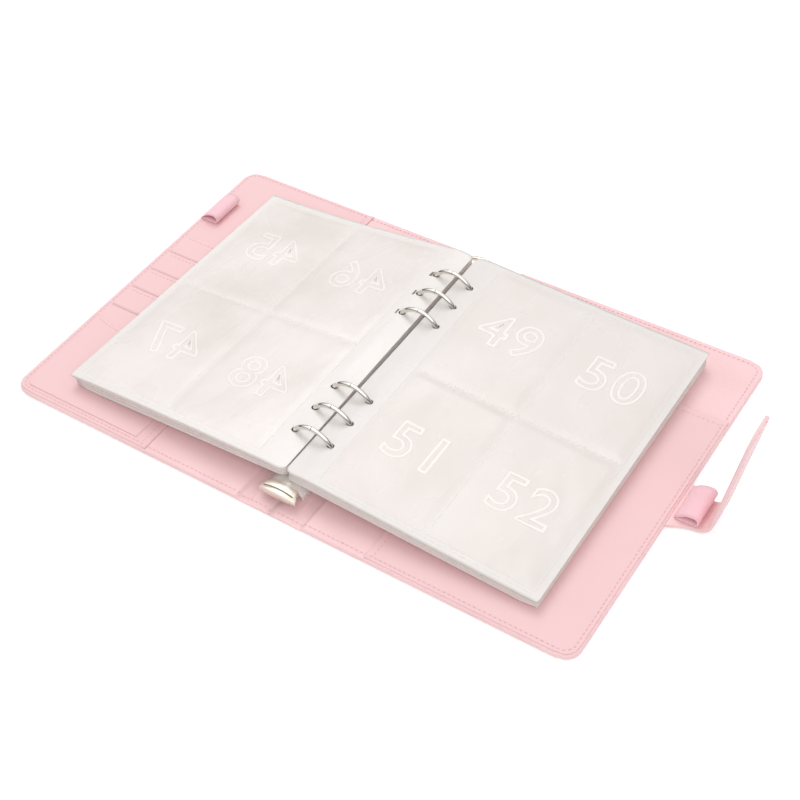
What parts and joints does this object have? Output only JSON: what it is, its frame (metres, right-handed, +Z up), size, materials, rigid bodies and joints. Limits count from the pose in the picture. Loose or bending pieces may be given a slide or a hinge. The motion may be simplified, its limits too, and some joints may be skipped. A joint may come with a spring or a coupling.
{
  "type": "ring binder wallet for cash envelopes",
  "caption": "Open six-ring binder wallet in soft leathercloth with clear pocket sheets, card slots, pen loops and a closure strap.",
  "frame": {"origin": "middle of the spine's outer face, on the surface that the open binder lies on", "axes": "+X across the open covers towards the back cover and its strap, +Y along the spine away from the near lever, +Z up"},
  "size_m": [0.4114, 0.235, 0.087],
  "materials": {
    "cover_leather": "soft matte leathercloth, fine grain",
    "pocket_leather": "soft matte leathercloth lining",
    "loop_elastic": "woven elastic, slight sheen",
    "nickel": "polished nickel plate",
    "lever_nickel": "satin nickel plate, warm",
    "clear_film": "milky translucent film"
  },
  "bodies": {
    "root": {"spine_panel": "cover_leather", "mechanism_case": "nickel", "near_rivet": "nickel", "far_rivet": "nickel"},
    "front_cover": {"front_cover": "cover_leather", "front_pocket": "pocket_leather", "card_slot_1": "pocket_leather", "card_slot_2": "pocket_leather", "card_slot_3": "pocket_leather", "card_slot_4": "pocket_leather", "slant_pocket": "pocket_leather", "front_pen_loop": "loop_elastic"},
    "back_cover": {"back_cover": "cover_leather", "back_pocket": "pocket_leather", "closure_strap": "cover_leather", "back_pen_loop": "loop_elastic"},
    "left_rings": {"left_blade": "nickel", "left_half_ring_1": "nickel", "left_half_ring_2": "nickel", "left_half_ring_3": "nickel", "left_half_ring_4": "nickel", "left_half_ring_5": "nickel", "left_half_ring_6": "nickel"},
    "right_rings": {"right_blade": "nickel", "right_half_ring_1": "nickel", "right_half_ring_2": "nickel", "right_half_ring_3": "nickel", "right_half_ring_4": "nickel", "right_half_ring_5": "nickel", "right_half_ring_6": "nickel"},
    "near_lever": {"near_lever": "lever_nickel"},
    "far_lever": {"far_lever": "lever_nickel"},
    "left_sheets": {"left_sheets": "clear_film"},
    "right_sheets": {"right_sheets": "clear_film"}
  },
  "joints": [
    {"name": "front_cover_hinge", "type": "hinge", "parent": "root", "child": "front_cover", "pos_m": [-0.0184, 0, 0.0032], "axis": [0, 1, 0], "range_deg": [0, 90], "deforming": ["front_pen_loop"]},
    {"name": "back_cover_hinge", "type": "hinge", "parent": "root", "child": "back_cover", "pos_m": [0.0184, 0, 0.0032], "axis": [0, -1, 0], "range_deg": [0, 90]},
    {"name": "left_sheets_turn", "type": "hinge", "parent": "root", "child": "left_sheets", "pos_m": [-0.003, 0, 0.0186], "axis": [0, 1, 0], "range_deg": [0, 90]},
    {"name": "right_sheets_turn", "type": "hinge", "parent": "root", "child": "right_sheets", "pos_m": [0.003, 0, 0.0186], "axis": [0, -1, 0], "range_deg": [0, 90]},
    {"name": "left_rings_open", "type": "hinge", "parent": "root", "child": "left_rings", "pos_m": [-0.0103, 0, 0.0035], "axis": [0, -1, 0], "range_deg": [0, 8]},
    {"name": "right_rings_open", "type": "hinge", "parent": "root", "child": "right_rings", "pos_m": [0.0103, 0, 0.0035], "axis": [0, 1, 0], "range_deg": [0, 8]},
    {"name": "near_lever_press", "type": "hinge", "parent": "root", "child": "near_lever", "pos_m": [0, -0.1035, 0.0065], "axis": [1, 0, 0], "range_deg": [0, 8]},
    {"name": "far_lever_press", "type": "hinge", "parent": "root", "child": "far_lever", "pos_m": [0, 0.1035, 0.0065], "axis": [-1, 0, 0], "range_deg": [0, 8]}
  ],
  "couplings": [
    {"joint": "left_sheets_turn", "follows": "front_cover_hinge", "ratio": 1},
    {"joint": "right_sheets_turn", "follows": "back_cover_hinge", "ratio": 1},
    {"joint": "right_rings_open", "follows": "left_rings_open", "ratio": 1}
  ]
}
